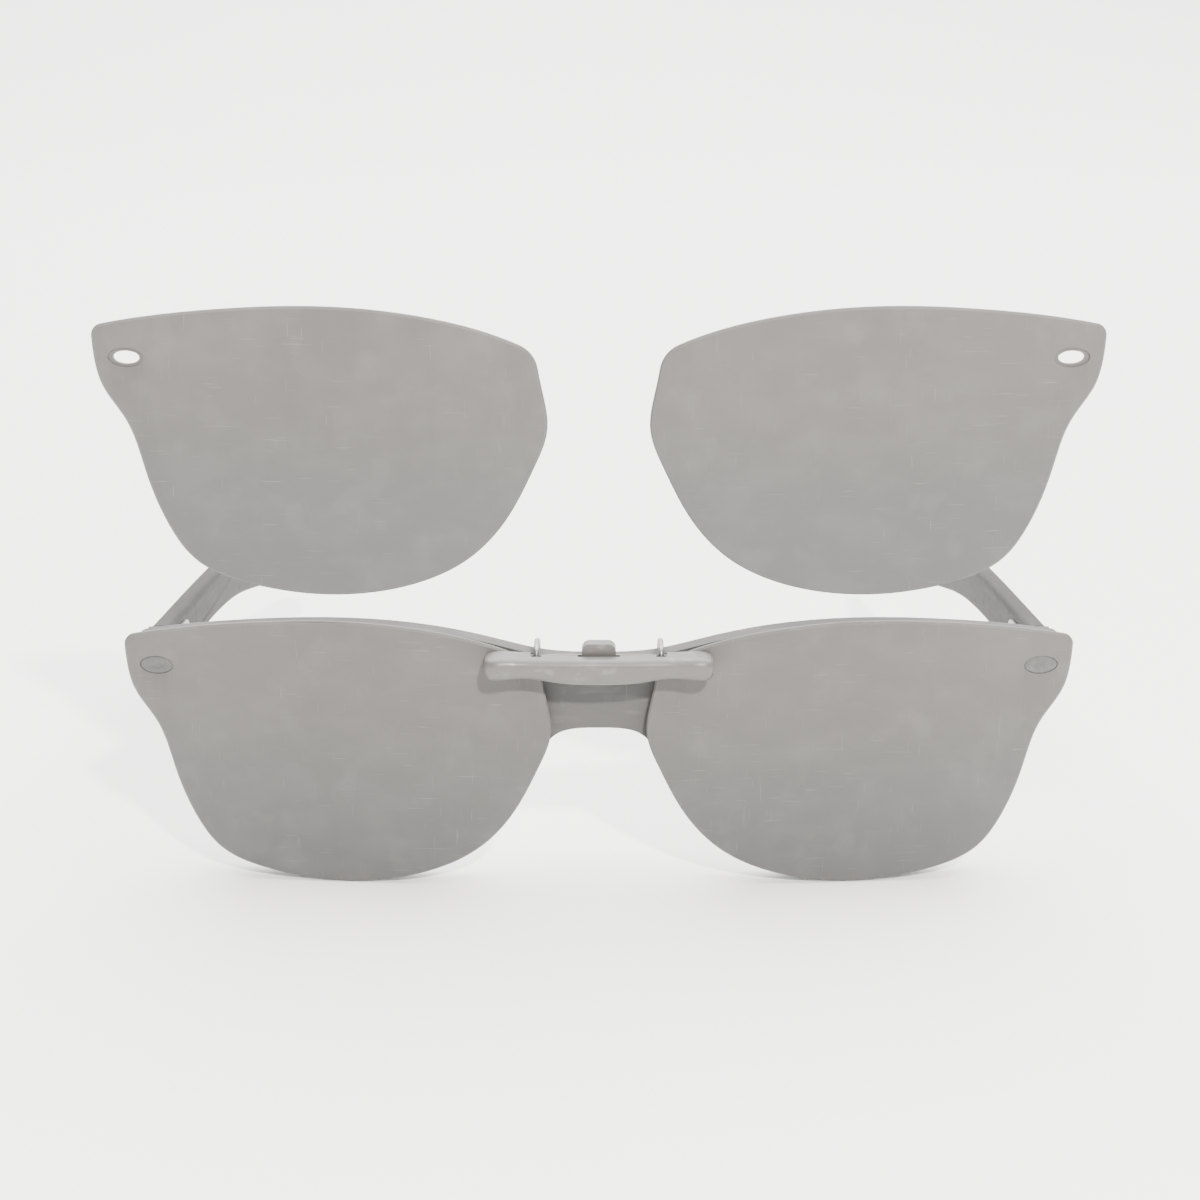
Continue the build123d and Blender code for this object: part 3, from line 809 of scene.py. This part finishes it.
def cast(graph, term):
    rod = graph.add(
        "GeometryNodeMeshCylinder",
        sockets={"Vertices": ROD_SIDES, "Radius": term["Rod radius"], "Depth": term["Rod length"]},
    )
    places = graph.add(
        "GeometryNodeMeshLine",
        sockets={"Count": GRIP_LINES, "Start Location": term["First"], "Offset": term["Step"]},
    )
    return graph.add(
        "GeometryNodeInstanceOnPoints",
        sockets={"Points": places, "Instance": rod, "Rotation": ALONG_X},
    )


grips = grow(
    "tab_grip_lines",
    {
        "Rod radius": (FLOAT, 0.11 * MM),
        "Rod length": (FLOAT, 3.0 * MM),
        "First": (PLACE, Vector((0, lever_high.y, lever_high.z - GRIP_TOP))),
        "Step": (PLACE, Vector((0, 0, -GRIP_STEP))),
    },
    cast,
    SATIN,
)
settle(grips, "jaw", "satin_metal")

# %% [markdown]
# ## Finishes on the solids that stay
#
# The bent prongs, the pin and the wires inside the temples already have their right shape, round
# and smooth, so they keep their solid and only take a finish.

# %% Dress the remaining solids
KEPT = ["prong_left", "prong_right", "jaw_pin", "temple_core_wire_left", "temple_core_wire_right"]
for name in KEPT:
    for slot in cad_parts[name].material_slots:
        slot.material = STEEL
    print(name, "wears", [slot.material.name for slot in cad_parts[name].material_slots])

# %% [markdown]
# ## The floor
#
# A plain pale sheet that lies flat under the glasses and bends up far behind them, as a roll of
# paper does in a studio. The bend is an arc, so no horizon line shows. It lies a hair below the
# lenses, because two faces in one plane would flicker.

# %% Lay the floor
FLOOR_HALF = 4.0
FLOOR_GAP = 0.2 * MM
CLOUD_SIZE = 0.4
floor_look = Finish("floor")
floor_tone = floor_look.blend(floor_look.noise(CLOUD_SIZE, 2), grey(0.93), grey(0.95))
BEND_START, BEND_RADIUS, BEND_STEPS = 1.2, 1.5, 24
bend = [pi / 2 * step / BEND_STEPS for step in range(BEND_STEPS + 1)]
side_view = [(-FLOOR_HALF, 0)]
side_view += [
    (BEND_START + BEND_RADIUS * sin(angle), BEND_RADIUS * (1 - cos(angle))) for angle in bend
]
points = [(x * FLOOR_HALF, y, z) for y, z in side_view for x in (-1, 1)]
strips = [(2 * n, 2 * n + 1, 2 * n + 3, 2 * n + 2) for n in range(len(side_view) - 1)]
floor_mesh = bpy.data.meshes.new("floor")
floor_mesh.from_pydata(points, [], strips)
floor_mesh.shade_smooth()
floor_mesh.materials.append(floor_look.surface(Base_Color=floor_tone, Roughness=0.8))
floor = bpy.data.objects.new("floor", floor_mesh)
bpy.context.scene.collection.objects.link(floor)
floor.location.z = -FLOOR_GAP
floor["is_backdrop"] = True
print("floor laid", FLOOR_GAP / MM, "mm under the lenses")


# %% [markdown]
# ## Light
#
# A white room and two lamps, the plain set of a product catalogue. The key lamp is above, in front
# and to the right, and small enough that the bar drops a readable shadow on the lenses. The sky
# lamp is broad and soft, behind and above, and lights the tops of the pieces.


# %% Hang the lamps and light the room
def lamp(name, place, size, power, colour):
    """A square lamp that faces the middle of the glasses."""
    data = bpy.data.lights.new(name, "AREA")
    data.color = colour
    data.size = size
    data.energy = power
    item = bpy.data.objects.new(name, data)
    item.location = place
    item.rotation_euler = (AIM - Vector(place)).to_track_quat("-Z", "Y").to_euler()
    bpy.context.scene.collection.objects.link(item)
    return item


WARM, NEARLY_WHITE = (1.0, 0.94, 0.88), (1.0, 0.985, 0.97)
ROOM_STRENGTH = 0.6
lamp("key", place=(0.22, -0.80, 0.62), size=0.05, power=17.0, colour=WARM)
lamp("sky", place=(0.15, 0.60, 1.60), size=3.0, power=240.0, colour=NEARLY_WHITE)
world = bpy.data.worlds.new("room")
world.use_nodes = True
room = world.node_tree.nodes["Background"]
room.inputs["Color"].default_value = grey(1.0)
room.inputs["Strength"].default_value = ROOM_STRENGTH
bpy.context.scene.world = world
print("lamps:", [light.name for light in bpy.data.lights])

# %% [markdown]
# ## The finished size
#
# The finished pieces must stay inside the engineered box. How far they grow past its upper
# corner is printed.

# %% Print how far the finished pieces grow past the engineered box
made_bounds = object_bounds()
growth = [round((made - cad) / MM, 3) for made, cad in zip(made_bounds[1], cad_bounds[1])]
print("grown past the engineered box's upper corner by, mm:", growth)
